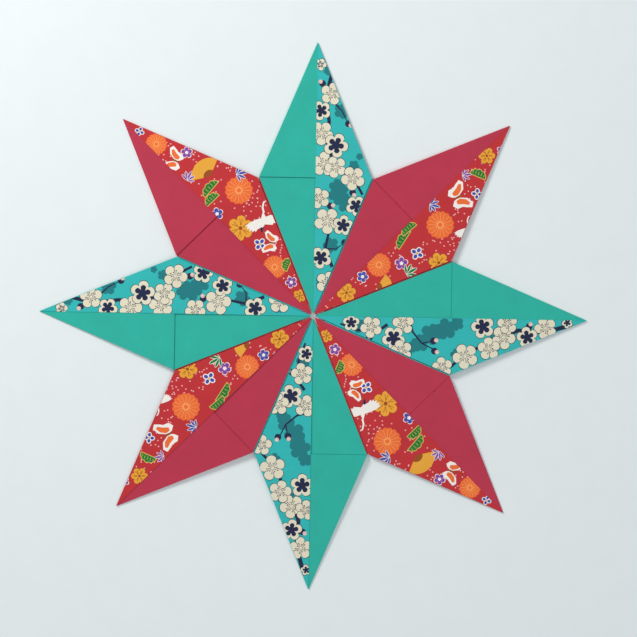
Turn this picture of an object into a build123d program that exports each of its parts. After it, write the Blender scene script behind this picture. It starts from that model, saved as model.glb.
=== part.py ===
from build123d import *
import math
import os

# Eight-pointed modular star, lying flat on a table with its coloured face up.
# It is eight square sheets of two-sided paper, each folded into one rhombic point.
# Each point carries a two-layer tab on its clockwise side, which slides into the
# pocket on the anticlockwise side of the next point. Nothing else holds the star.
#
# Frame: millimetres, +Z up, the table at Z = 0, the star's centre at X = Y = 0.
# The first point runs along +Y, and the others follow it clockwise.

# ---- driving sizes --------------------------------------------------------------
sheet_side = 150.0          # the square sheet that each point is folded from
paper_thickness = 0.10      # one layer of the paper
layer_gap = 0.10            # air left between two layers lying on each other
groove_width = 0.80         # opening between the folded edges of two neighbouring points
tab_end_cut = 6.0           # how far short of the centre the tab layers stop
step_width = 1.2            # width of the bend that lifts the tab to the pocket
fold_overlap = 0.06         # how deep a layer's end runs into its folded edge
fold_easing = 0.02          # how much a folded edge stands back from a layer's face
fold_end_cut = 0.36         # how far short of a corner each folded edge stops

# ---- sizes that follow ----------------------------------------------------------
tip_angle = 45.0                                   # half of the sheet's square corner
point_count = round(360 / tip_angle)
half_tip = math.radians(tip_angle / 2)
level_height = paper_thickness + layer_gap
half_width = sheet_side / 2 * math.tan(half_tip)
centre_setback = groove_width / 2 / math.sin(half_tip)

# ---- corners of the folded sheet, seen from above, with its inner corner at 0, 0 -
tip = (0.0, sheet_side)
middle = (0.0, sheet_side / 2)
left = (-half_width, sheet_side / 2)
right = (half_width, sheet_side / 2)
centre = (0.0, 0.0)
pleat = (0.0, sheet_side / math.sqrt(2))           # the middle of the sheet
tab_end = (sheet_side / 2 * math.sin(math.radians(tip_angle)),
           sheet_side / 2 * math.cos(math.radians(tip_angle)))
step = (step_width, 0.0)                           # inner end of the tab's lifting bend

# Levels count layers up from the table. Each corner of a facet has a level.
# The facets are given as (corner, level) pairs, going round.
print_flap_outer = [(tip, 2), (right, 10), (middle, 10)]
print_flap_inner = [(middle, 10), (right, 10), (centre, 8)]
plain_outer = [(tip, 1), (right, 9), (left, 9)]
pleat_upper = [(left, 8), (right, 8), (pleat, 4)]
pleat_lower = [(left, 7), (right, 7), (pleat, 3)]
plain_inner = [(right, 7), (left, 7), (centre, 7)]
pocket_roof = [(centre, 6), (left, 6), (middle, 6)]
pocket_floor = [(centre, 3), (left, 3), (middle, 3)]
back_wedge = [(tip, 0), (left, 0), (centre, 0)]


def tab_sheet(low, high):
    """Facets of one tab layer: left part, lifting bend, right part and tab."""
    return [
        [(left, low), (pleat, low), (centre, low)],
        [(pleat, low), (step, high), (centre, low)],
        [(pleat, low), (right, high), (step, high)],
        [(right, high), (tab_end, high), (step, high)],
    ]


tab_upper = tab_sheet(2, 5)
tab_lower = tab_sheet(1, 4)

# Folded edges: two corners, the lower and upper level at each, and how far the
# folded edge stands inside the corner line so that it nests in another fold.
nest = paper_thickness + layer_gap
folds = [
    (tip, right, (1, 2), (9, 10), 0.0),
    (tip, left, (0, 1), (0, 9), 0.0),
    (left, right, (8, 9), (8, 9), 0.0),
    (right, centre, (7, 10), (7, 8), 0.0),
    (right, pleat, (7, 8), (3, 4), 0.0),
    (left, pleat, (1, 8), (1, 4), 0.0),
    (left, pleat, (2, 7), (2, 3), nest),
    (left, centre, (6, 7), (6, 7), 0.0),
    (left, centre, (2, 3), (2, 3), 0.0),
    (left, centre, (0, 1), (0, 1), 0.0),
    (left, middle, (3, 6), (3, 6), 0.0),
    (pleat, right, (1, 2), (4, 5), 0.0),
    (right, tab_end, (4, 5), (4, 5), 0.0),
]


def height(level):
    return level * level_height


def facet_height(facet, x, y):
    """Underside height of a facet's plane at a place in plan."""
    (p, a), (q, b), (r, c) = facet
    det = (q[0] - p[0]) * (r[1] - p[1]) - (r[0] - p[0]) * (q[1] - p[1])
    s = ((x - p[0]) * (r[1] - p[1]) - (r[0] - p[0]) * (y - p[1])) / det
    t = ((q[0] - p[0]) * (y - p[1]) - (x - p[0]) * (q[1] - p[1])) / det
    return height(a + s * (b - a) + t * (c - a))


def edge_inset(p, q, facet):
    """A facet stops short of a corner line only where the sheet folds there."""
    levels = dict(facet)
    for start, end, start_levels, end_levels, inset in folds:
        for a, b, at_a, at_b in ((start, end, start_levels, end_levels),
                                 (end, start, end_levels, start_levels)):
            if (p, q) == (a, b) and levels[a] in at_a and levels[b] in at_b:
                return inset + paper_thickness - fold_overlap
    return 0.0


def inset_corners(facet):
    """Plan corners of a facet, moved inwards from its folded edges."""
    points = [corner for corner, level in facet]
    turn = sum(points[i - 1][0] * points[i][1] - points[i][0] * points[i - 1][1]
               for i in range(3))
    if turn < 0:
        points.reverse()
    lines = []
    for i in range(3):
        p, q = points[i], points[(i + 1) % 3]
        length = math.dist(p, q)
        inward = (-(q[1] - p[1]) / length, (q[0] - p[0]) / length)
        inset = edge_inset(p, q, facet)
        lines.append((inward, inward[0] * p[0] + inward[1] * p[1] + inset))
    corners = []
    for i in range(3):
        (n, a), (m, b) = lines[i - 1], lines[i]
        det = n[0] * m[1] - n[1] * m[0]
        corners.append(((a * m[1] - b * n[1]) / det, (n[0] * b - m[0] * a) / det))
    return corners


def facet_plate(facet):
    """One facet as a plate of the paper's thickness."""
    outline = [(x, y, facet_height(facet, x, y)) for x, y in inset_corners(facet)]
    face = Face(Wire.make_polygon([Vector(*p) for p in outline]))
    return Solid.extrude(face, Vector(0, 0, paper_thickness))


def fold_wall(fold):
    """The narrow turned edge that joins two layers along a fold."""
    start, end, start_levels, end_levels, inset = fold
    length = math.dist(start, end)
    along = ((end[0] - start[0]) / length, (end[1] - start[1]) / length)
    inward = fold_inward(start, end, along)
    corners = []
    for place, levels, pull in ((start, start_levels, fold_end_cut),
                                (end, end_levels, -fold_end_cut)):
        x = place[0] + along[0] * pull + inward[0] * inset
        y = place[1] + along[1] * pull + inward[1] * inset
        corners.append((x, y, height(levels[0]) + fold_easing,
                        height(levels[1]) + paper_thickness - fold_easing))
    (x1, y1, low1, high1), (x2, y2, low2, high2) = corners
    face = Face(Wire.make_polygon([Vector(x1, y1, low1), Vector(x2, y2, low2),
                                   Vector(x2, y2, high2), Vector(x1, y1, high1)]))
    return Solid.extrude(face, Vector(*inward, 0) * paper_thickness)


def fold_inward(start, end, along):
    """Plan direction from a fold towards the layers that it joins."""
    side = (-along[1], along[0])
    if {start, end} == {left, right}:
        target = tip
    elif {start, end} == {left, middle}:
        target = centre
    elif {start, end} in ({pleat, right}, {right, tab_end}, {left, pleat}):
        target = centre
    else:
        target = middle
    offset = (target[0] - start[0]) * side[0] + (target[1] - start[1]) * side[1]
    return side if offset > 0 else (-side[0], -side[1])


def folded_point():
    """One sheet, folded, with its inner corner at the origin."""
    facets = [print_flap_outer, print_flap_inner, plain_outer, pleat_upper, pleat_lower,
              plain_inner, pocket_roof, pocket_floor, back_wedge]
    sheet = [facet_plate(facet) for facet in facets]
    sheet += [fold_wall(fold) for fold in folds]
    tab = [facet_plate(facet) for facet in tab_upper + tab_lower]
    centre_room = Cylinder(tab_end_cut, 40)
    tab = [(plate - centre_room).solid() for plate in tab]
    return sheet[0].fuse(*sheet[1:], *tab)


def main():
    os.makedirs("parts", exist_ok=True)
    point = Pos(0, centre_setback, 0) * folded_point()
    for index in range(point_count):
        paper = "teal" if index % 2 == 0 else "red"
        name = f"{paper}_unit_{index // 2 + 1}"
        placed = Rot(0, 0, -tip_angle * index) * point
        export_step(placed, f"parts/{name}.step")


main()
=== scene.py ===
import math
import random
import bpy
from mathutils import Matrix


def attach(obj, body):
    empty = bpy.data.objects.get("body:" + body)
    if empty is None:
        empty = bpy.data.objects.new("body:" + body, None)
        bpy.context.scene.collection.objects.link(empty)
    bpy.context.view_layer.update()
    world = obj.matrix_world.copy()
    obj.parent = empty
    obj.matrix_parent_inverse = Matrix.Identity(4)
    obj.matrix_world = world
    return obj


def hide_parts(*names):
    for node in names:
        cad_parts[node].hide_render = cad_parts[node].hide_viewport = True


bl_info = {
    "name": "Folded paper star",
    "version": (1, 0, 0),
    "blender": (4, 5, 0),
    "location": "View3D > Sidebar > Star",
    "description": "Builds the papers, prints and stage of an eight-pointed folded star",
    "category": "Object",
}

import bmesh
import bpy
from mathutils import Vector
from mathutils.geometry import delaunay_2d_cdt

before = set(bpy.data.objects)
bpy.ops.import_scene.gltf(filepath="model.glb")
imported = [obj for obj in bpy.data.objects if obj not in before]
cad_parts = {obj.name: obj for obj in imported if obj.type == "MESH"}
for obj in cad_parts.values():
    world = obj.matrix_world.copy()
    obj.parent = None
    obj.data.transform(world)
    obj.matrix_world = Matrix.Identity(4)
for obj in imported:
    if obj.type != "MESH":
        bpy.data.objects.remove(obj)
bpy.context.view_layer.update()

MM = 0.001
POINT_ANGLE = 45.0
HALF_POINT = math.radians(POINT_ANGLE / 2)
FOLD_ARC_STEPS = 6
FOLD_END_RADII = 3          # a folded edge stops this many radii short of its corners
WELD_DISTANCE = 1e-7

# layer heights of the printed flap, counted in layers from the table
FLAP_TIP_LEVEL = 2
FLAP_CREASE_LEVEL = 10
FLAP_CENTRE_LEVEL = 8

TABLE_HALF_WIDTH = 2.0
TABLE_DROP = 0.0002         # keeps the table clear of the lowest layer
CAMERA_HEIGHT = 0.9
CAMERA_PLACE = (0.003, -0.0014)
CAMERA_ROLL = math.radians(1.0)
SENSOR_WIDTH = 36.0
SHOWN_WIDTH = 0.3512        # width of table that the picture takes in
ROOM_STRENGTH = 0.42
PAPER_MOTTLE = 0.07
INK_MOTTLE = 0.05
TABLE_MOTTLE = 0.015


# ---- sizes and colours a user may set ----------------------------------------------
def length_prop(name, description, default):
    return bpy.props.FloatProperty(
        name=name, description=description, default=default, min=0.0,
        unit="LENGTH", subtype="DISTANCE", precision=5)


def colour_prop(name, description, default):
    return bpy.props.FloatVectorProperty(
        name=name, description=description, default=default, size=3,
        min=0.0, max=1.0, subtype="COLOR_GAMMA")


class StarSizes(bpy.types.PropertyGroup):
    sheet_side: length_prop("Sheet side", "Side of each square sheet", 0.150)
    paper: length_prop("Paper thickness", "Thickness of one layer", 0.0001)
    level: length_prop("Layer height", "Height from one layer to the next", 0.0002)
    groove: length_prop("Groove", "Opening between neighbouring points", 0.0008)
    fold_radius: length_prop("Fold radius", "Outside radius of a folded edge", 0.00014)
    tab_cut: length_prop("Tab end", "How far from the centre the tab layers stop", 0.006)


class StarColours(bpy.types.PropertyGroup):
    teal_plain: colour_prop("Teal back", "Plain side of the teal paper", (0.165, 0.690, 0.620))
    teal_ground: colour_prop("Turquoise", "Ground of the blossom print", (0.180, 0.710, 0.700))
    teal_shade: colour_prop("Deep teal", "Shadow shapes in the blossom print", (0.105, 0.480, 0.500))
    cream: colour_prop("Cream", "Blossom petals", (0.890, 0.860, 0.760))
    navy: colour_prop("Navy", "Branches and outlines", (0.110, 0.140, 0.270))
    blush: colour_prop("Blush", "Tips of the buds", (0.880, 0.720, 0.680))
    red_plain: colour_prop("Crimson back", "Plain side of the red paper", (0.720, 0.200, 0.290))
    red_ground: colour_prop("Red", "Ground of the festive print", (0.750, 0.180, 0.200))
    orange: colour_prop("Orange", "Chrysanthemums", (0.930, 0.430, 0.200))
    apricot: colour_prop("Apricot", "Light lines on the chrysanthemums", (0.980, 0.620, 0.350))
    amber: colour_prop("Amber", "Fans and amber flowers", (0.920, 0.640, 0.200))
    brown: colour_prop("Brown", "Lines on the amber shapes", (0.600, 0.300, 0.100))
    green: colour_prop("Green", "Pine clumps", (0.090, 0.480, 0.200))
    gold: colour_prop("Gold", "Outlines of the pine clumps", (0.850, 0.700, 0.330))
    white: colour_prop("White", "Cranes and small flowers", (0.950, 0.930, 0.900))
    blue: colour_prop("Blue", "Small flowers and leaves", (0.270, 0.300, 0.650))
    violet: colour_prop("Violet", "Bellflowers", (0.520, 0.260, 0.620))
    pink: colour_prop("Pale pink", "Scattered dots", (0.950, 0.700, 0.680))


def linear(colour):
    return tuple(c / 12.92 if c <= 0.04045 else ((c + 0.055) / 1.055) ** 2.4
                 for c in colour)


# ---- shared shader groups -----------------------------------------------------------
def paper_grain_group():
    """Mottled tone and fibre height for a matt paper."""
    group = bpy.data.node_groups.new("paper_grain", "ShaderNodeTree")
    sockets = group.interface
    tone = sockets.new_socket("Colour", in_out="INPUT", socket_type="NodeSocketColor")
    tone.default_value = (0.5, 0.5, 0.5, 1.0)
    sockets.new_socket("Mottle", in_out="INPUT", socket_type="NodeSocketFloat")
    sockets.new_socket("Colour", in_out="OUTPUT", socket_type="NodeSocketColor")
    sockets.new_socket("Height", in_out="OUTPUT", socket_type="NodeSocketFloat")
    sockets.new_socket("Roughness", in_out="OUTPUT", socket_type="NodeSocketFloat")
    nodes, links = group.nodes, group.links
    entry, leave = nodes.new("NodeGroupInput"), nodes.new("NodeGroupOutput")
    place = nodes.new("ShaderNodeTexCoord")
    fine, cloud = nodes.new("ShaderNodeTexNoise"), nodes.new("ShaderNodeTexNoise")
    fine.inputs["Scale"].default_value = 2600.0
    fine.inputs["Detail"].default_value = 6.0
    cloud.inputs["Scale"].default_value = 70.0
    cloud.inputs["Detail"].default_value = 8.0
    cloud.inputs["Roughness"].default_value = 0.65
    for noise in (fine, cloud):
        links.new(place.outputs["Object"], noise.inputs["Vector"])
    both = nodes.new("ShaderNodeMath")
    both.operation = "MULTIPLY_ADD"
    both.inputs[1].default_value = 0.45
    links.new(fine.outputs["Fac"], both.inputs[0])
    links.new(cloud.outputs["Fac"], both.inputs[2])
    spread = nodes.new("ShaderNodeMapRange")
    spread.inputs["From Min"].default_value = 0.45
    spread.inputs["From Max"].default_value = 1.0
    spread.inputs["To Min"].default_value = -1.0
    spread.inputs["To Max"].default_value = 1.0
    links.new(both.outputs[0], spread.inputs["Value"])
    scaled = nodes.new("ShaderNodeMath")
    scaled.operation = "MULTIPLY_ADD"
    scaled.inputs[2].default_value = 1.0
    links.new(spread.outputs["Result"], scaled.inputs[0])
    links.new(entry.outputs["Mottle"], scaled.inputs[1])
    shade = nodes.new("ShaderNodeHueSaturation")
    links.new(scaled.outputs[0], shade.inputs["Value"])
    links.new(entry.outputs["Colour"], shade.inputs["Color"])
    rough = nodes.new("ShaderNodeMapRange")
    rough.inputs["To Min"].default_value = 0.55
    rough.inputs["To Max"].default_value = 0.75
    links.new(cloud.outputs["Fac"], rough.inputs["Value"])
    links.new(shade.outputs["Color"], leave.inputs["Colour"])
    links.new(both.outputs[0], leave.inputs["Height"])
    links.new(rough.outputs["Result"], leave.inputs["Roughness"])
    return group


def paper_material(name, colour, grain, mottle):
    """Matt paper or ink with grain; the colour is what the eye sees."""
    material = bpy.data.materials.new(name)
    material.use_nodes = True
    nodes, links = material.node_tree.nodes, material.node_tree.links
    shader = nodes["Principled BSDF"]
    shader.inputs["Specular IOR Level"].default_value = 0.25
    effect = nodes.new("ShaderNodeGroup")
    effect.node_tree = grain
    effect.inputs["Colour"].default_value = (*linear(colour), 1.0)
    effect.inputs["Mottle"].default_value = mottle
    bump = nodes.new("ShaderNodeBump")
    bump.inputs["Strength"].default_value = 0.25
    bump.inputs["Distance"].default_value = 0.00005
    links.new(effect.outputs["Colour"], shader.inputs["Base Color"])
    links.new(effect.outputs["Roughness"], shader.inputs["Roughness"])
    links.new(effect.outputs["Height"], bump.inputs["Height"])
    links.new(bump.outputs["Normal"], shader.inputs["Normal"])
    return material


# ---- the fold: corners, facets and folded edges, with the layer each one lies on ------
class Fold:
    """Corners of one folded sheet in plan, with its inner corner at 0, 0."""

    def __init__(self, sizes):
        side = sizes.sheet_side
        self.sizes = sizes
        half = side / 2 * math.tan(HALF_POINT)
        self.tip = (0.0, side)
        self.middle = (0.0, side / 2)
        self.left = (-half, side / 2)
        self.right = (half, side / 2)
        self.centre = (0.0, 0.0)
        self.pleat = (0.0, side / math.sqrt(2))
        turn = math.radians(POINT_ANGLE)
        self.tab_end = (side / 2 * math.sin(turn), side / 2 * math.cos(turn))
        self.setback = sizes.groove / 2 / math.sin(HALF_POINT)

    def facets(self):
        """(corner, level) rings with the upper and lower finish of each.

        The two tab layers rise evenly from the axis to the right corner, without the
        narrow lifting bend of the solid part. Away from the flap, the printed side
        shows only its ground colour.
        """
        t, m, l, r = self.tip, self.middle, self.left, self.right
        c, p, e = self.centre, self.pleat, self.tab_end
        facets = [
            ([(t, 1), (r, 9), (l, 9)], "plain", "ground"),
            ([(l, 8), (r, 8), (p, 4)], "ground", "plain"),
            ([(l, 7), (r, 7), (p, 3)], "plain", "ground"),
            ([(r, 7), (l, 7), (c, 7)], "plain", "ground"),
            ([(c, 6), (l, 6), (m, 6)], "ground", "plain"),
            ([(c, 3), (l, 3), (m, 3)], "plain", "ground"),
            ([(t, 0), (l, 0), (c, 0)], "ground", "plain"),
        ]
        for low, high, upper, lower in ((2, 5, "ground", "plain"), (1, 4, "plain", "ground")):
            cut_left = self.cut_point(l)
            cut_axis = (0.0, self.sizes.tab_cut)
            cut_right = self.cut_point(r)
            cut_tab = self.cut_point(e)
            facets += [
                ([(l, low), (p, low), (cut_axis, low), (cut_left, low)], upper, lower),
                ([(p, low), (r, high), (cut_right, high), (cut_axis, low)], upper, lower),
                ([(r, high), (e, high), (cut_tab, high), (cut_right, high)], upper, lower),
            ]
        return facets

    def cut_point(self, corner):
        """Where the tab layers stop, on the line from the centre to a corner."""
        reach = self.sizes.tab_cut / math.hypot(*corner)
        return (corner[0] * reach, corner[1] * reach)

    def folded_edges(self):
        """Start, end, (low, high) levels at both, side it faces, inset and finish."""
        t, m, l, r = self.tip, self.middle, self.left, self.right
        c, p, e = self.centre, self.pleat, self.tab_end
        nest = self.sizes.level
        return [
            (t, r, (1, 2), (9, 10), m, 0.0, "ground"),
            (t, l, (0, 1), (0, 9), m, 0.0, "plain"),
            (l, r, (8, 9), (8, 9), t, 0.0, "plain"),
            (r, c, (7, 10), (7, 8), m, 0.0, "ground"),
            (r, p, (7, 8), (3, 4), c, 0.0, "ground"),
            (l, p, (1, 8), (1, 4), c, 0.0, "ground"),
            (l, p, (2, 7), (2, 3), c, nest, "plain"),
            (l, c, (6, 7), (6, 7), m, 0.0, "plain"),
            (l, c, (2, 3), (2, 3), m, 0.0, "plain"),
            (l, c, (0, 1), (0, 1), m, 0.0, "plain"),
            (l, m, (3, 6), (3, 6), c, 0.0, "ground"),
            (p, r, (1, 2), (4, 5), c, 0.0, "ground"),
            (r, e, (4, 5), (4, 5), c, 0.0, "ground"),
        ]


def ring_area(points):
    return sum(points[i - 1][0] * points[i][1] - points[i][0] * points[i - 1][1]
               for i in range(len(points))) / 2


def inset_ring(points, inset):
    """A convex ring in plan, moved inwards by the same distance all round."""
    if ring_area(points) < 0:
        points = list(reversed(points))
    lines = []
    for i, p in enumerate(points):
        q = points[(i + 1) % len(points)]
        length = math.dist(p, q)
        n = (-(q[1] - p[1]) / length, (q[0] - p[0]) / length)
        lines.append((n, n[0] * p[0] + n[1] * p[1] + inset))
    corners = []
    for i in range(len(points)):
        (n, a), (m, b) = lines[i - 1], lines[i]
        det = n[0] * m[1] - n[1] * m[0]
        corners.append(((a * m[1] - b * n[1]) / det, (n[0] * b - m[0] * a) / det))
    return corners


def plane_height(ring, level_height):
    """Height over plan of the plane through a facet's first three corners."""
    (p, a), (q, b), (r, c) = ring[:3]
    det = (q[0] - p[0]) * (r[1] - p[1]) - (r[0] - p[0]) * (q[1] - p[1])

    def height(x, y):
        s = ((x - p[0]) * (r[1] - p[1]) - (r[0] - p[0]) * (y - p[1])) / det
        t = ((q[0] - p[0]) * (y - p[1]) - (x - p[0]) * (q[1] - p[1])) / det
        return (a + s * (b - a) + t * (c - a)) * level_height
    return height


class SheetMesh:
    """Collects one folded sheet's faces, each with the name of its finish."""

    def __init__(self):
        self.points, self.faces, self.finishes = [], [], []

    def face(self, points, finish):
        start = len(self.points)
        self.points += points
        self.faces.append(tuple(range(start, start + len(points))))
        self.finishes.append(finish)

    def plate(self, ring, height, thickness, upper, lower):
        under = [(x, y, height(x, y)) for x, y in ring]
        over = [(x, y, z + thickness) for x, y, z in under]
        if upper:
            self.face(over, upper)
        self.face(list(reversed(under)), lower)
        for i in range(len(ring)):
            j = (i + 1) % len(ring)
            self.face([under[i], under[j], over[j], over[i]], lower)

    def folded_edge(self, edge, sizes):
        start, end, at_start, at_end, target, inset, finish = edge
        length = math.dist(start, end)
        along = ((end[0] - start[0]) / length, (end[1] - start[1]) / length)
        inward = (-along[1], along[0])
        toward = (target[0] - start[0]) * inward[0] + (target[1] - start[1]) * inward[1]
        if toward < 0:
            inward = (-inward[0], -inward[1])
        radius, thickness = sizes.fold_radius, sizes.paper
        rings = []
        for place, levels, pull in ((start, at_start, FOLD_END_RADII * radius),
                                   (end, at_end, -FOLD_END_RADII * radius)):
            low, high = levels[0] * sizes.level, levels[1] * sizes.level + thickness
            section = []
            for r in (radius, radius - thickness):
                arc = []
                for step in range(FOLD_ARC_STEPS + 1):
                    angle = math.pi / 2 * (1 - step / FOLD_ARC_STEPS)
                    arc.append((radius - r * math.cos(angle), high - radius + r * math.sin(angle)))
                for step in range(FOLD_ARC_STEPS + 1):
                    angle = -math.pi / 2 * step / FOLD_ARC_STEPS
                    arc.append((radius - r * math.cos(angle), low + radius + r * math.sin(angle)))
                section.append(arc if r == radius else list(reversed(arc)))
            ring = []
            for depth, z in section[0] + section[1]:
                x = place[0] + along[0] * pull + inward[0] * (depth + inset)
                y = place[1] + along[1] * pull + inward[1] * (depth + inset)
                ring.append((x, y, z))
            rings.append(ring)
        first, second = rings
        for i in range(len(first)):
            j = (i + 1) % len(first)
            self.face([first[i], first[j], second[j], second[i]], finish)
        self.face(list(reversed(first)), finish)
        self.face(second, finish)


# ---- print motifs: each gives (ink, outline) shapes in millimetres -------------------
def circle(x, y, r, count=14, squash=1.0, turn=0.0):
    shape = []
    for i in range(count):
        a = 2 * math.pi * i / count
        u, v = r * math.cos(a), r * squash * math.sin(a)
        shape.append((x + u * math.cos(turn) - v * math.sin(turn),
                      y + u * math.sin(turn) + v * math.cos(turn)))
    return shape


def petal_ring(x, y, r, lobes, depth, turn, steps=7):
    """A flower outline with round lobes and notches between them."""
    shape = []
    for i in range(lobes * steps):
        phase = i / steps
        swell = abs(math.sin(math.pi * phase)) ** 0.55
        a = turn + 2 * math.pi * phase / lobes
        reach = r * (1 - depth + depth * swell)
        shape.append((x + reach * math.cos(a), y + reach * math.sin(a)))
    return shape


def stroke(points, width, taper=1.0):
    """A narrow strip along a bent line, tapering to its end."""
    left_side, right_side = [], []
    for i, (x, y) in enumerate(points):
        a, b = points[max(i - 1, 0)], points[min(i + 1, len(points) - 1)]
        length = math.dist(a, b)
        n = (-(b[1] - a[1]) / length, (b[0] - a[0]) / length)
        w = width / 2 * (1 + (taper - 1) * i / (len(points) - 1))
        left_side.append((x + n[0] * w, y + n[1] * w))
        right_side.append((x - n[0] * w, y - n[1] * w))
    return left_side + right_side[::-1]


def blossom(x, y, r=7.0, turn=0.3, dark=False):
    """Plum blossom: five round cream petals, navy outline, stamens or a dark heart."""
    shapes = [("navy", petal_ring(x, y, r + 0.35, 5, 0.34, turn)),
              ("cream", petal_ring(x, y, r, 5, 0.36, turn))]
    if dark:
        shapes.append(("navy", petal_ring(x, y, r * 0.66, 5, 0.55, turn)))
        return shapes
    for i in range(5):
        notch = turn + 2 * math.pi * i / 5
        a = (x + r * 0.3 * math.cos(notch), y + r * 0.3 * math.sin(notch))
        b = (x + r * 0.64 * math.cos(notch), y + r * 0.64 * math.sin(notch))
        shapes.append(("navy", stroke([a, b], 0.32)))
    for i in range(10):
        ray = turn + 2 * math.pi * (i + 0.5) / 10
        reach = r * (0.46 if i % 2 else 0.34)
        a = (x + r * 0.12 * math.cos(ray), y + r * 0.12 * math.sin(ray))
        b = (x + reach * math.cos(ray), y + reach * math.sin(ray))
        shapes.append(("navy", stroke([a, b], 0.24)))
        shapes.append(("navy", circle(*b, 0.34, 7)))
    shapes.append(("cream", circle(x, y, r * 0.1, 8)))
    return shapes


def bud(x, y, turn):
    tip = (x + 1.5 * math.cos(turn), y + 1.5 * math.sin(turn))
    return [("navy", circle(x, y, 1.9, 12)), ("blush", circle(*tip, 1.2, 10)),
            ("cream", circle(tip[0] + 0.3, tip[1] + 0.3, 0.5, 8))]


def shadow_flower(x, y, r, turn):
    return [("teal_shade", petal_ring(x, y, r, 5, 0.3, turn))]


def chrysanthemum(x, y, r=7.6, turn=0.0):
    shapes = [("orange", petal_ring(x, y, r, 16, 0.1, turn, 5))]
    for i in range(16):
        ray = turn + 2 * math.pi * i / 16
        a = (x + r * 0.3 * math.cos(ray), y + r * 0.3 * math.sin(ray))
        b = (x + r * 0.88 * math.cos(ray), y + r * 0.88 * math.sin(ray))
        shapes.append(("apricot", stroke([a, b], 0.26)))
    shapes.append(("apricot", petal_ring(x, y, r * 0.3, 8, 0.25, turn, 5)))
    shapes.append(("orange", circle(x, y, r * 0.16, 10)))
    return shapes


def amber_flower(x, y, r=6.6, turn=0.2):
    shapes = [("brown", petal_ring(x, y, r + 0.25, 6, 0.3, turn)),
              ("amber", petal_ring(x, y, r, 6, 0.32, turn))]
    for i in range(6):
        ray = turn + 2 * math.pi * (i + 0.5) / 6
        for bend in (-0.16, 0.16):
            a = (x + r * 0.22 * math.cos(ray), y + r * 0.22 * math.sin(ray))
            b = (x + r * 0.72 * math.cos(ray + bend), y + r * 0.72 * math.sin(ray + bend))
            shapes.append(("brown", stroke([a, b], 0.28)))
    shapes.append(("brown", circle(x, y, r * 0.16, 9)))
    return shapes


def fan(x, y, r=10.5, turn=0.0):
    """An open fan: a broad leaf of amber with a darker root and rib lines."""
    spread = math.radians(62)

    def arc(reach, count, flip=False):
        angles = [turn - spread + 2 * spread * i / count for i in range(count + 1)]
        if flip:
            angles.reverse()
        return [(x + reach * math.cos(a), y + reach * math.sin(a)) for a in angles]
    shapes = [("brown", [(x, y)] + arc(r * 0.42, 10)),
              ("amber", arc(r * 0.36, 10) + arc(r, 18, True))]
    for i in range(1, 8):
        a = turn - spread + 2 * spread * i / 8
        shapes.append(("gold", stroke(
            [(x + r * 0.4 * math.cos(a), y + r * 0.4 * math.sin(a)),
             (x + r * 0.96 * math.cos(a), y + r * 0.96 * math.sin(a))], 0.22)))
    return shapes


def pine(x, y, width=11.0, turn=0.0):
    """A pine clump: a low scalloped cloud of green with a gold rim and needles."""
    c, s = math.cos(turn), math.sin(turn)

    def place(u, v):
        return (x + u * c - v * s, y + u * s + v * c)
    count = 5
    shapes = []
    for ink, grow in (("gold", 0.45), ("green", 0.0)):
        outline = [place(-width / 2 - grow, -0.6 - grow), place(width / 2 + grow, -0.6 - grow)]
        for i in range(count * 5 + 1):
            a = math.pi * i / (count * 5)
            bump = 0.7 * abs(math.sin(math.pi * i / 5))
            outline.append(place((width / 2 + grow) * math.cos(a),
                                 (2.8 + grow + bump) * math.sin(a) - 0.2))
        shapes.append((ink, outline))
    for i in range(count):
        u = width * (0.36 * (2 * i / (count - 1) - 1))
        shapes.append(("gold", stroke([place(u, 0.1), place(u * 1.12, 2.0)], 0.26)))
    return shapes


def bellflower(x, y, r=3.6, turn=0.0, ink="violet", rim="white"):
    shapes = [(rim, petal_ring(x, y, r + 0.4, 5, 0.42, turn)),
              (ink, petal_ring(x, y, r, 5, 0.45, turn)),
              (rim, petal_ring(x, y, r * 0.34, 5, 0.4, turn))]
    return shapes


def square_flower(x, y, r=3.4, turn=0.0):
    """A four-petalled blue flower with pale rims."""
    shapes = []
    for i in range(4):
        a = turn + math.pi / 2 * i
        px, py = x + r * 0.56 * math.cos(a), y + r * 0.56 * math.sin(a)
        shapes.append(("white", circle(px, py, r * 0.52, 12, 0.85, a)))
        shapes.append(("blue", circle(px, py, r * 0.36, 10, 0.8, a)))
    shapes.append(("amber", circle(x, y, r * 0.18, 8)))
    return shapes


def leaves(x, y, r=6.0, turn=0.0, ink="blue"):
    shapes = []
    for i in range(5):
        a = turn + (i - 2) * 0.62
        reach = r * (1 - 0.12 * abs(i - 2))
        mid = (x + reach * 0.5 * math.cos(a), y + reach * 0.5 * math.sin(a))
        shapes.append(("white", circle(*mid, reach * 0.5 + 0.2, 12, 0.3, a)))
        shapes.append((ink, circle(*mid, reach * 0.5, 12, 0.22, a)))
    return shapes


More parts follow.
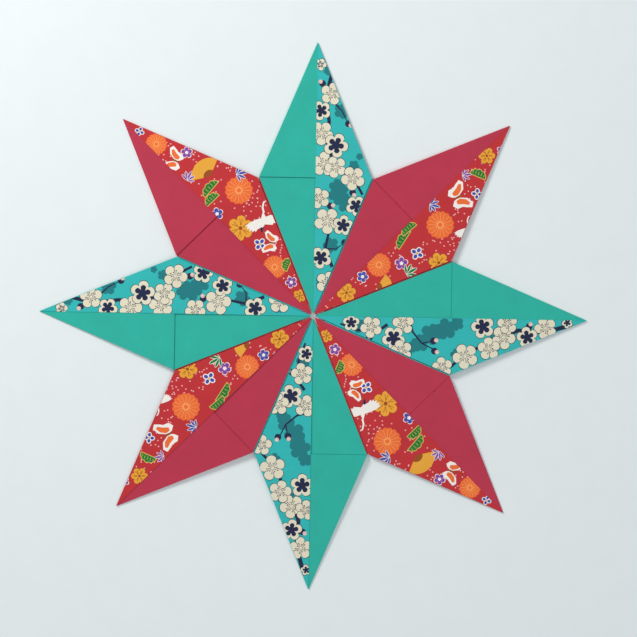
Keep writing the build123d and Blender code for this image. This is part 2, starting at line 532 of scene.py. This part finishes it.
def crane(x, y, size=1.0, turn=0.0, flip=1):
    """A flying crane: long neck, spread feathered wings, dark tail and trailing legs."""
    c, s = math.cos(turn), math.sin(turn)

    def place(points):
        return [(x + size * (u * c - flip * v * s), y + size * (u * s + flip * v * c))
                for u, v in points]
    wing = [(1.5, 0.6), (0.0, 4.2), (-2.0, 7.6), (-4.6, 10.2), (-4.4, 8.6), (-6.0, 9.0),
            (-5.4, 7.4), (-7.0, 7.4), (-6.2, 6.0), (-7.4, 5.6), (-6.2, 4.6), (-7.0, 3.8),
            (-5.4, 3.0), (-3.6, 0.4)]
    far_wing = [(1.8, -0.4), (3.4, -3.4), (3.2, -6.8), (2.4, -8.8), (1.6, -7.4), (0.8, -8.2),
                (0.2, -6.6), (-0.8, -7.0), (-1.0, -5.4), (-2.0, -5.2), (-2.2, -0.6)]
    body = [(5.0, 1.0), (2.0, 1.5), (-2.0, 1.3), (-4.4, 0.3), (-2.0, -1.0), (2.0, -0.9)]
    neck = [(4.2, 0.4), (7.0, 1.4), (9.6, 1.2), (11.6, 0.2)]
    bill = [(11.4, 0.3), (13.8, -0.7)]
    tail = [(-3.0, 0.9), (-5.4, 1.4), (-7.2, 0.4), (-5.6, -0.4), (-3.0, -0.5)]
    legs = [(-5.0, 0.0), (-9.0, -1.2)]
    return [("navy", place(tail)), ("brown", place(stroke(legs, 0.4))),
            ("white", place(wing)), ("white", place(far_wing)), ("white", place(body)),
            ("white", place(stroke(neck, 1.1, 0.7))), ("navy", place(stroke(bill, 0.5, 0.3))),
            ("red_ground", place(circle(11.2, 0.6, 0.45, 7)))]


def butterfly(x, y, size=1.0, turn=0.0):
    c, s = math.cos(turn), math.sin(turn)

    def place(points):
        return [(x + size * (u * c - v * s), y + size * (u * s + v * c)) for u, v in points]
    shapes = []
    for side in (1, -1):
        wing = [(0, 0), (side * 2.5, 4.6), (side * 6.0, 6.2), (side * 8.0, 4.6), (side * 6.6, 1.8),
                (side * 5.6, 0.4), (side * 5.4, -2.6), (side * 3.0, -4.2), (side * 1.2, -2.6)]
        heart = [(side * 1.0, 0.8), (side * 2.8, 3.6), (side * 5.4, 4.8), (side * 6.2, 3.6),
                 (side * 4.6, 1.4), (side * 3.2, -1.6), (side * 1.4, -1.4)]
        shapes += [("white", place(wing)), ("orange", place(heart))]
    shapes.append(("brown", place(circle(0, 0.4, 2.6, 12, 0.24, math.pi / 2))))
    return shapes


def dot_cloud(x, y, seed, count=11, spread=6.5):
    pick = random.Random(seed)
    shapes = []
    for _ in range(count):
        a, d = pick.uniform(0, 2 * math.pi), spread * math.sqrt(pick.random())
        shapes.append(("pink", circle(x + d * math.cos(a), y + d * math.sin(a), 0.42, 7)))
    return shapes


# ---- the four cuts of print; x runs out from the long edge, y from the centre ---------
def blossom_print_a():
    shapes = []
    for x, y, r, turn in ((13, 66, 6, 0.2), (17, 61, 5, 0.9), (9, 38, 4.5, 0.1),
                          (21, 82, 3, 0.4), (24, 87, 2, 0.2), (14, 112, 4.5, 0.6),
                          (4, 18, 3, 0.7), (12, 70, 4.6, 1.0), (6, 134, 2.6, 0.3)):
        shapes += shadow_flower(x, y, r, turn)
    shapes += [
        ("navy", stroke([(6, 146), (8, 132), (5, 120), (7, 106), (6, 95), (9, 86), (14, 79),
                         (21, 75), (26, 66)], 2.3, 0.6)),
        ("navy", stroke([(1, 66), (5, 62), (8, 60)], 0.9, 0.6)),
        ("navy", stroke([(10, 26), (6, 36), (8, 46), (3, 56)], 1.9, 0.6)),
        ("navy", stroke([(8, 118), (14, 112), (17, 106)], 1.0, 0.5)),
        ("navy", stroke([(6, 36), (12, 36), (16, 39)], 0.9, 0.5))]
    shapes += bud(17.6, 105, -0.6) + bud(8.4, 59.6, 0.2) + bud(20.6, 67, -1.0)
    shapes += bud(16.6, 39.6, 0.6) + bud(3.0, 127, 2.4)
    for flower in ((2.9, 99.6, 6.6, 0.3, False), (4.6, 82.6, 6.8, 0.9, False),
                   (10.9, 81, 6.0, 0.1, False), (10.9, 93, 6.8, 0.5, True),
                   (20.6, 75, 6.6, 0.2, False), (2.3, 63.8, 5.8, 0.0, False),
                   (22.6, 59.8, 5.6, 0.4, True), (6.9, 51.4, 7.2, 0.35, False),
                   (15.6, 49, 5.6, 0.8, True), (3.6, 31, 6.0, 0.2, True),
                   (7.4, 17.4, 6.2, 0.6, False), (8.2, 121.4, 6.2, 0.7, False),
                   (2.4, 112, 5.4, 0.1, True), (1.6, 137.5, 3.4, 0.5, False)):
        shapes += blossom(*flower)
    return shapes


def blossom_print_b():
    shapes = []
    for x, y, r, turn in ((6, 72, 6, 0.2), (9, 64, 6, 0.9), (14, 58, 5, 0.1), (3, 78, 4, 0.4),
                          (20, 78, 3.4, 0.2), (13, 100, 5, 0.6), (17, 52, 4, 0.7),
                          (5, 24, 4, 0.5), (7, 128, 3, 0.1)):
        shapes += shadow_flower(x, y, r, turn)
    shapes += [
        ("navy", stroke([(3, 140), (7, 126), (6, 112), (11, 102), (15, 92), (20, 82),
                         (27, 75)], 2.4, 0.6)),
        ("navy", stroke([(1, 52), (8, 54), (14, 59), (17, 65)], 1.3, 0.5)),
        ("navy", stroke([(14, 59), (13, 64)], 0.8, 0.6)),
        ("navy", stroke([(4, 40), (9, 33), (7, 22), (4, 14)], 1.8, 0.6))]
    shapes += bud(12.6, 65.4, 1.8) + bud(18.2, 66, 1.2) + bud(3.8, 118, 2.6)
    shapes += bud(11.6, 30, -0.4)
    for flower in ((4.4, 92.4, 6.4, 0.3, True), (10, 104, 6.6, 0.8, False),
                   (2.4, 106, 5.6, 0.2, False), (16.4, 96, 6.2, 0.1, False),
                   (20.8, 83, 7.0, 0.5, False), (27, 70.5, 5.6, 0.2, False),
                   (3.4, 48.6, 6.0, 0.1, False), (11.4, 43.4, 6.4, 0.6, True),
                   (18.4, 47.8, 6.0, 0.3, False), (5.6, 31, 6.0, 0.5, False),
                   (3.4, 20, 4.6, 0.0, True), (4.6, 127, 6.2, 0.4, False),
                   (9.8, 117, 5.8, 0.2, True), (1.4, 139, 3.0, 0.5, True)):
        shapes += blossom(*flower)
    return shapes


def festive_print_a():
    shapes = []
    for index, (x, y) in enumerate(((18, 70), (22, 84), (8, 56), (20, 58), (6, 104), (14, 112),
                                    (12, 40), (4, 30), (24, 76), (4, 122), (16, 98), (5, 12))):
        shapes += dot_cloud(x, y, index)
    shapes += pine(4.5, 64, 11, 1.8) + pine(2.5, 70, 9, 1.5)
    shapes += square_flower(15, 64, 3.5, 0.3) + bellflower(13, 54, 3.4, 0.5)
    shapes += leaves(0.6, 88, 5.6, 0.5) + leaves(19, 52, 6.5, 1.3, "green")
    shapes += amber_flower(27, 69, 5.6, 0.1) + chrysanthemum(12.6, 84, 7.7)
    shapes += butterfly(8.4, 101.4, 1.05, -0.3) + crane(25, 93, 0.7, 2.2, 1)
    shapes += chrysanthemum(5.0, 44.5, 6.6) + fan(13, 35, 8.6, 0.7)
    shapes += bellflower(3.4, 33.5, 3.0, 0.1, "blue") + amber_flower(3.6, 21, 5.2, 0.5)
    shapes += pine(7.4, 118, 8.6, 0.4) + square_flower(14.4, 110.5, 3.0, 0.7)
    shapes += amber_flower(3.0, 129, 4.6, 0.3) + bellflower(6.6, 137, 2.4, 0.3)
    shapes += leaves(1.4, 112, 5.0, 0.9, "violet")
    return shapes


def festive_print_b():
    shapes = []
    for index, (x, y) in enumerate(((16, 70), (14, 62), (22, 62), (8, 100), (14, 108), (4, 84),
                                    (22, 72), (6, 34), (12, 40), (4, 120), (9, 24), (19, 90))):
        shapes += dot_cloud(x, y, 40 + index)
    shapes += pine(8, 88.4, 10.5, 0.1) + pine(4.4, 83.4, 8.6, 0.0)
    shapes += chrysanthemum(18.6, 77, 7.7) + fan(12.6, 93.4, 10.4, 1.5)
    shapes += leaves(24, 84.4, 6.2, -0.6) + bellflower(1.0, 76, 3.2, 0.4, "blue")
    shapes += amber_flower(4.8, 61.4, 7.0, 0.2) + crane(17, 55.6, 0.98, 0.7, 1)
    shapes += square_flower(6.4, 47.6, 3.4, 0.2) + butterfly(11.6, 43.6, 0.8, 0.6)
    shapes += chrysanthemum(3.4, 33, 6.4) + pine(9.6, 28.8, 7.0, 0.4)
    shapes += bellflower(4.2, 20.6, 3.0, 0.6) + amber_flower(2.2, 12, 3.6, 0.1)
    shapes += butterfly(4.8, 113, 0.9, 0.4) + bellflower(12.4, 112, 3.0, 0.2)
    shapes += chrysanthemum(3.6, 127, 6.0) + square_flower(1.8, 138.4, 2.6, 0.4)
    shapes += leaves(2.0, 101, 5.4, 0.3, "violet")
    return shapes


PRINTS = {
    "teal": (blossom_print_a, blossom_print_b),
    "red": (festive_print_a, festive_print_b),
}
PRINT_OF_POINT = {"teal_unit_1": 0, "teal_unit_2": 1, "teal_unit_3": 1, "teal_unit_4": 0,
                  "red_unit_1": 0, "red_unit_2": 1, "red_unit_3": 0, "red_unit_4": 1}


def print_faces(fold, shapes):
    """Cuts the printed flap along every ink outline: (triangle, ink) in plan, metres."""
    radius = fold.sizes.fold_radius
    outline = inset_flap(fold, radius)
    points, rings = list(outline), [tuple(range(len(outline)))]
    inks = ["ground"]
    crease_start = len(points)
    points += [fold.middle, (fold.right[0] - radius, fold.right[1])]
    for ink, ring in shapes:
        if ring_area(ring) < 0:
            ring = ring[::-1]
        start = len(points)
        points += [(x * MM, y * MM) for x, y in ring]
        rings.append(tuple(range(start, start + len(ring))))
        inks.append(ink)
    result = delaunay_2d_cdt([Vector(p) for p in points], [(crease_start, crease_start + 1)],
                             rings, 0, WELD_DISTANCE, True)
    corners, _, triangles, _, _, sources = result
    faces = []
    for triangle, source in zip(triangles, sources):
        if 0 in source:
            faces.append(([tuple(corners[i]) for i in triangle], inks[max(source)]))
    return faces


def inset_flap(fold, radius):
    """The printed half in plan, short of its two folded edges."""
    t, r, c = fold.tip, fold.right, fold.centre
    shrink = radius / math.cos(HALF_POINT)
    reach = radius / math.sin(HALF_POINT)
    return [(c[0], c[1] + reach), (r[0] - shrink, r[1]), (t[0], t[1] - reach)]


def flap_height(fold):
    """Height of the printed flap: it rises over the hump at its middle crease."""
    level = fold.sizes.level
    side = fold.sizes.sheet_side

    def height(x, y):
        if y > side / 2:
            fall = FLAP_CREASE_LEVEL - FLAP_TIP_LEVEL
            return (FLAP_CREASE_LEVEL - fall * (y - side / 2) / (side / 2)) * level
        rise = FLAP_CREASE_LEVEL - FLAP_CENTRE_LEVEL
        return (FLAP_CENTRE_LEVEL + rise * y / (side / 2)) * level
    return height


def build_point(name, index, cut, sizes, materials):
    """One folded sheet as a single piece that stands for its CAD node."""
    fold = Fold(sizes)
    sheet = SheetMesh()
    for ring, upper, lower in fold.facets():
        height = plane_height(ring, sizes.level)
        plan = inset_ring([corner for corner, _ in ring], sizes.fold_radius)
        sheet.plate(plan, height, sizes.paper, upper, lower)
    for edge in fold.folded_edges():
        sheet.folded_edge(edge, sizes)
    height = flap_height(fold)
    thickness = sizes.paper
    for triangle, ink in cut:
        sheet.face([(x, y, height(x, y) + thickness) for x, y in triangle], ink)
    flap = inset_flap(fold, sizes.fold_radius)
    ring = [flap[0], flap[1], flap[2], (0.0, fold.middle[1])]
    sheet.plate(ring, height, thickness, None, "plain")
    turn = -math.radians(POINT_ANGLE) * index
    mesh = bpy.data.meshes.new(name + "_paper")
    placed = []
    for x, y, z in sheet.points:
        y += fold.setback
        placed.append((x * math.cos(turn) - y * math.sin(turn),
                       x * math.sin(turn) + y * math.cos(turn), z))
    mesh.from_pydata(placed, [], sheet.faces)
    order = sorted(set(sheet.finishes))
    for finish in order:
        mesh.materials.append(materials[finish])
    for polygon, finish in zip(mesh.polygons, sheet.finishes):
        polygon.material_index = order.index(finish)
    work = bmesh.new()
    work.from_mesh(mesh)
    bmesh.ops.remove_doubles(work, verts=work.verts, dist=WELD_DISTANCE)
    bmesh.ops.recalc_face_normals(work, faces=work.faces)
    work.to_mesh(mesh)
    work.free()
    piece = bpy.data.objects.new(name + "_paper", mesh)
    bpy.context.scene.collection.objects.link(piece)
    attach(piece, "root")
    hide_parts(name)


def build_points(context, paper):
    """All points of one paper."""
    sizes, colours = context.scene.star_sizes, context.scene.star_colours
    grain = bpy.data.node_groups.get("paper_grain") or paper_grain_group()
    inks = {"teal": ("teal_shade", "cream", "navy", "blush"),
            "red": ("orange", "apricot", "amber", "brown", "green", "gold", "white", "blue",
                    "violet", "pink", "navy", "red_ground")}[paper]
    materials = {"plain": paper_material(paper + "_back", getattr(colours, paper + "_plain"),
                                         grain, PAPER_MOTTLE),
                 "ground": paper_material(paper + "_print", getattr(colours, paper + "_ground"),
                                          grain, PAPER_MOTTLE)}
    for ink in inks:
        materials[ink] = paper_material(paper + "_ink_" + ink, getattr(colours, ink), grain, INK_MOTTLE)
    fold = Fold(sizes)
    cuts = [print_faces(fold, shapes()) for shapes in PRINTS[paper]]
    for number in range(1, 5):
        name = f"{paper}_unit_{number}"
        index = 2 * (number - 1) + (paper == "red")
        build_point(name, index, cuts[PRINT_OF_POINT[name]], sizes, materials)


class STAR_OT_teal_points(bpy.types.Operator):
    """Fold the four teal sheets with the blossom print"""
    bl_idname = "star.teal_points"
    bl_label = "Teal points"

    def execute(self, context):
        build_points(context, "teal")
        return {"FINISHED"}


class STAR_OT_red_points(bpy.types.Operator):
    """Fold the four red sheets with the festive print"""
    bl_idname = "star.red_points"
    bl_label = "Red points"

    def execute(self, context):
        build_points(context, "red")
        return {"FINISHED"}


class STAR_OT_stage(bpy.types.Operator):
    """Set the pale table, the soft lamps and the camera over the star"""
    bl_idname = "star.stage"
    bl_label = "Stage"

    def execute(self, context):
        build_stage(context.scene)
        return {"FINISHED"}


def build_stage(scene):
    table = bpy.data.meshes.new("table")
    half = TABLE_HALF_WIDTH
    table.from_pydata([(-half, -half, 0), (half, -half, 0), (half, half, 0), (-half, half, 0)],
                      [], [(0, 1, 2, 3)])
    floor = bpy.data.objects.new("table", table)
    floor.location.z = -TABLE_DROP
    scene.collection.objects.link(floor)
    grain = bpy.data.node_groups.get("paper_grain") or paper_grain_group()
    table.materials.append(paper_material("table_top", (0.900, 0.925, 0.925), grain,
                                        TABLE_MOTTLE))
    lamp("key", (-0.75, 0.85, 0.62), 0.35, 13.0, (1.0, 0.985, 0.96), scene)
    lamp("fill", (0.5, -0.4, 1.4), 1.6, 7.0, (0.93, 0.97, 1.0), scene)
    world = bpy.data.worlds.new("room")
    world.use_nodes = True
    world.node_tree.nodes["Background"].inputs["Color"].default_value = (0.93, 0.96, 1.0, 1.0)
    world.node_tree.nodes["Background"].inputs["Strength"].default_value = ROOM_STRENGTH
    scene.world = world
    scene.view_settings.view_transform = "Standard"
    view = bpy.data.cameras.new("camera")
    view.sensor_width = SENSOR_WIDTH
    view.lens = view.sensor_width * CAMERA_HEIGHT / SHOWN_WIDTH
    camera = bpy.data.objects.new("camera", view)
    camera.location = (*CAMERA_PLACE, CAMERA_HEIGHT)
    camera.rotation_euler = (0.0, 0.0, CAMERA_ROLL)
    scene.collection.objects.link(camera)
    scene.camera = camera


def lamp(name, place, size, power, colour, scene):
    light = bpy.data.lights.new(name, "AREA")
    light.shape = "SQUARE"
    light.size = size
    light.energy = power
    light.color = colour
    source = bpy.data.objects.new(name, light)
    source.location = place
    source.rotation_euler = Vector(place).to_track_quat("Z", "Y").to_euler()
    scene.collection.objects.link(source)


class STAR_PT_panel(bpy.types.Panel):
    """Sizes, colours and the steps that build the star"""
    bl_idname = "STAR_PT_panel"
    bl_label = "Folded star"
    bl_space_type = "VIEW_3D"
    bl_region_type = "UI"
    bl_category = "Star"

    def draw(self, context):
        for group in (context.scene.star_sizes, context.scene.star_colours):
            for key in group.__annotations__:
                self.layout.prop(group, key)
        for operator in ("star.teal_points", "star.red_points", "star.stage"):
            self.layout.operator(operator)


CLASSES = (StarSizes, StarColours, STAR_OT_teal_points, STAR_OT_red_points, STAR_OT_stage,
           STAR_PT_panel)


def register():
    for cls in CLASSES:
        bpy.utils.register_class(cls)
    bpy.types.Scene.star_sizes = bpy.props.PointerProperty(type=StarSizes)
    bpy.types.Scene.star_colours = bpy.props.PointerProperty(type=StarColours)


def unregister():
    del bpy.types.Scene.star_colours
    del bpy.types.Scene.star_sizes
    for cls in reversed(CLASSES):
        bpy.utils.unregister_class(cls)


def main():
    register()
    bpy.ops.star.stage()
    bpy.ops.star.teal_points()
    bpy.ops.star.red_points()


if __name__ == "__main__":
    main()
